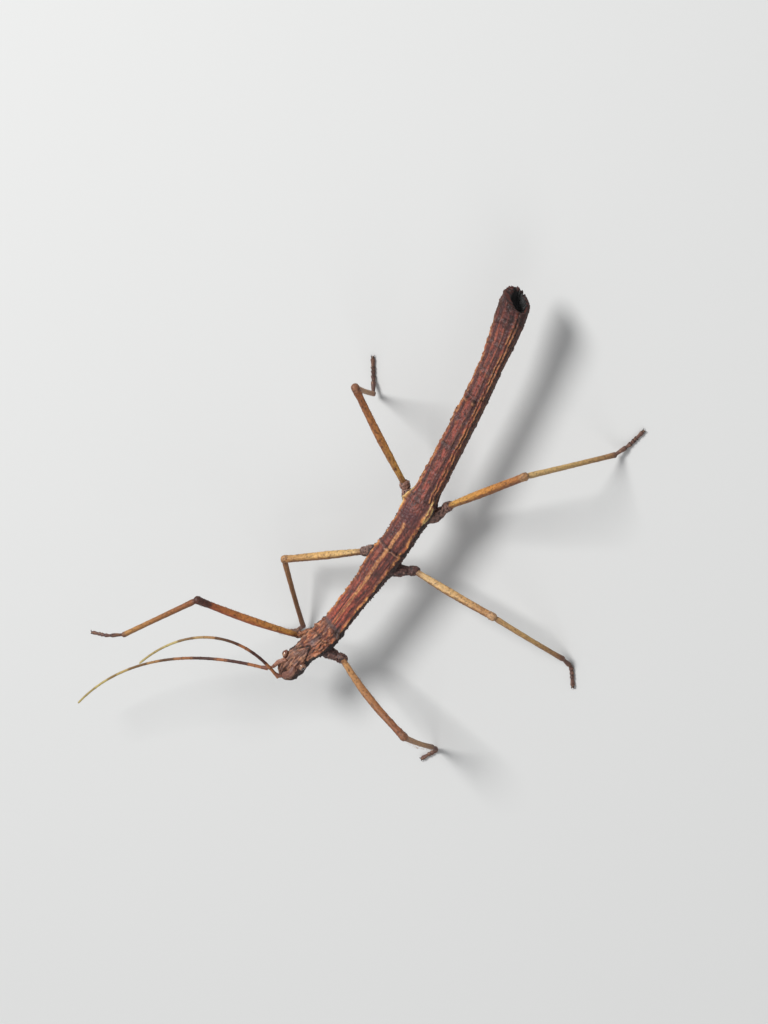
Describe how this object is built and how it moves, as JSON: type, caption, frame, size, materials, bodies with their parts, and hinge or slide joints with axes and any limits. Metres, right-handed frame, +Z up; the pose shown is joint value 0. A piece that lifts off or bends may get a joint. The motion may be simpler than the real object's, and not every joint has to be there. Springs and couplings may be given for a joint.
{
  "type": "apteroxylus stick insect, still life-size model",
  "caption": "Wingless bark-brown stick insect standing on its feet, right front leg raised, long antennae forward and a hollow-ended tail.",
  "frame": {"origin": "on the floor under the centre of the bounding box", "axes": "+Z up, the head points along -Y and the tail along +Y, the insect's left side is +X"},
  "size_m": [0.0684, 0.1102, 0.0255],
  "materials": {
    "thorax_cuticle": "rough, bark-like",
    "abdomen_cuticle": "rough, bark-like",
    "dark_cuticle": "satin",
    "leg_cuticle": "satin",
    "antenna_cuticle": "satin",
    "eye": "gloss"
  },
  "bodies": {
    "root": {"head": "thorax_cuticle", "pronotum": "thorax_cuticle", "mesothorax": "thorax_cuticle", "metathorax": "thorax_cuticle", "abdomen_2": "abdomen_cuticle", "abdomen_3": "abdomen_cuticle", "abdomen_4": "abdomen_cuticle", "abdomen_5": "abdomen_cuticle", "abdomen_6": "abdomen_cuticle", "abdomen_7": "abdomen_cuticle", "abdomen_8": "abdomen_cuticle", "tail": "abdomen_cuticle", "eye_left": "eye", "eye_right": "eye", "scape_left": "dark_cuticle", "scape_right": "dark_cuticle", "antenna_left_base": "antenna_cuticle", "antenna_left_tip": "antenna_cuticle", "antenna_right_base": "antenna_cuticle", "antenna_right_tip": "antenna_cuticle", "coxa_front_left": "dark_cuticle", "coxa_front_right": "dark_cuticle", "coxa_mid_left": "dark_cuticle", "coxa_mid_right": "dark_cuticle", "coxa_hind_left": "dark_cuticle", "coxa_hind_right": "dark_cuticle", "femur_front_left": "leg_cuticle", "femur_front_right": "leg_cuticle", "femur_mid_left": "leg_cuticle", "femur_mid_right": "leg_cuticle", "femur_hind_left": "leg_cuticle", "femur_hind_right": "leg_cuticle", "tibia_front_left": "leg_cuticle", "tibia_front_right": "leg_cuticle", "tibia_mid_left": "leg_cuticle", "tibia_mid_right": "leg_cuticle", "tibia_hind_left": "leg_cuticle", "tibia_hind_right": "leg_cuticle", "tarsus_front_left": "dark_cuticle", "tarsus_front_right": "dark_cuticle", "tarsus_mid_left": "dark_cuticle", "tarsus_mid_right": "dark_cuticle", "tarsus_hind_left": "dark_cuticle", "tarsus_hind_right": "dark_cuticle"}
  },
  "joints": []
}
